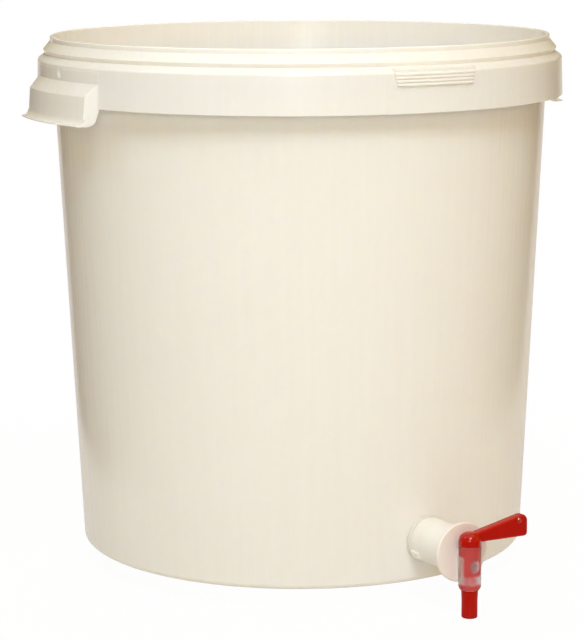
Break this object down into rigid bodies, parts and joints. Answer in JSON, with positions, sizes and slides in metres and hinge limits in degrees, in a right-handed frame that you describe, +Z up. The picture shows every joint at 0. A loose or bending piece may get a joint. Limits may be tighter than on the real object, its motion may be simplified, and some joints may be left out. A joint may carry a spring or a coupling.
{
  "type": "fermentation bucket with tap",
  "caption": "Open tapered round plastic bucket with a snap bead rim, hollow hand grips and a turning lever tap low on the wall, for fermenting and draining drinks.",
  "frame": {"origin": "middle of the base plane, on the axis of the bucket", "axes": "+Z up along the bucket axis, -Y out along the tap, +X where the closed lever points"},
  "size_m": [0.4068, 0.4119, 0.3838],
  "materials": {
    "bucket_plastic": "satin natural white polypropylene",
    "seal_rubber": "matt pale silicone rubber",
    "nut_plastic": "satin white plastic",
    "tap_plastic": "translucent natural polyethylene",
    "plug_plastic": "glossy red plastic"
  },
  "bodies": {
    "bucket": {"bucket": "bucket_plastic", "outer_seal": "seal_rubber", "inner_seal": "seal_rubber", "back_nut": "nut_plastic", "tap_body": "tap_plastic"},
    "plug": {"tap_plug": "plug_plastic"}
  },
  "joints": [
    {"name": "tap_turn", "type": "hinge", "parent": "bucket", "child": "plug", "pos_m": [0, -0.21415, 0.02], "axis": [0, 0, -1], "range_deg": [0, 180]}
  ]
}
